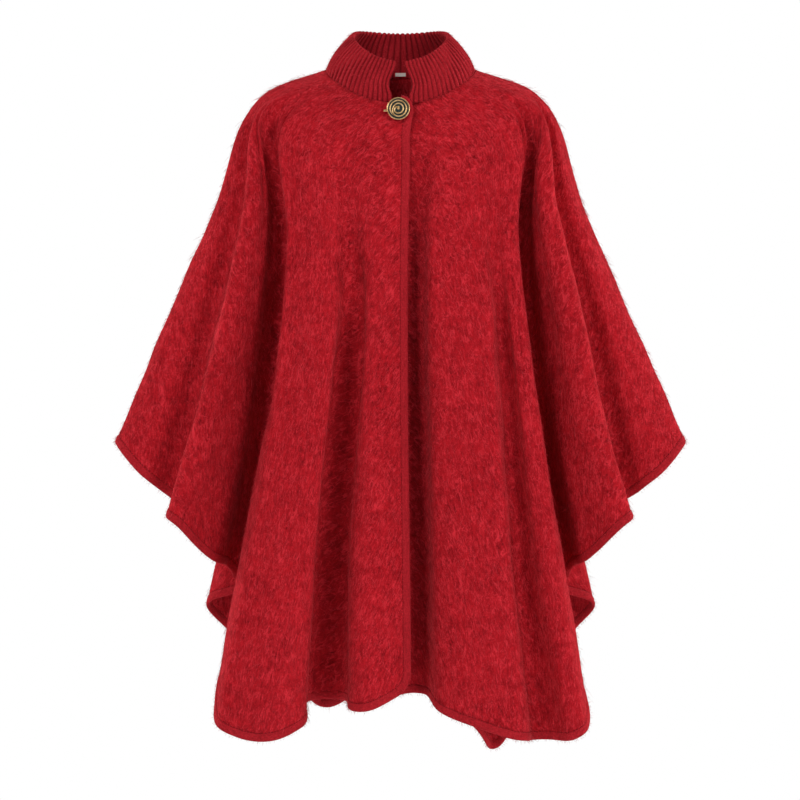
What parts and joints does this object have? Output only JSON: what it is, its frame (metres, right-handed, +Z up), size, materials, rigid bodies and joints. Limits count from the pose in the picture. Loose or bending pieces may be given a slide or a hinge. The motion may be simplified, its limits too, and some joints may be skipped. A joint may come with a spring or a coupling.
{
  "type": "poncho",
  "caption": "Brushed-wool cape poncho with a ribbed stand collar, an open front lapped right over left, bound edges and a button at the neck, draped as worn.",
  "frame": {"origin": "on the axis of the neck opening, level with the collar seam at the side of the neck", "axes": "+Z up along the hanging cloth, -Y towards the front, +X towards the wearer's left"},
  "size_m": [0.817, 0.3392, 1.0461],
  "materials": {
    "brushed_wool": "brushed wool with a long soft nap",
    "wool_binding": "turned wool edge, topstitched",
    "rib_knit": "ribbed wool knit",
    "antique_brass": "aged brass with dark recesses",
    "label_tape": "plain woven tape"
  },
  "bodies": {
    "root": {"front_right": "brushed_wool", "front_left": "brushed_wool", "back": "brushed_wool", "binding_front_right": "wool_binding", "binding_front_left": "wool_binding", "binding_back": "wool_binding", "collar": "rib_knit", "button": "antique_brass", "button_shank": "antique_brass", "button_bar": "antique_brass", "neck_label": "label_tape"}
  },
  "joints": []
}
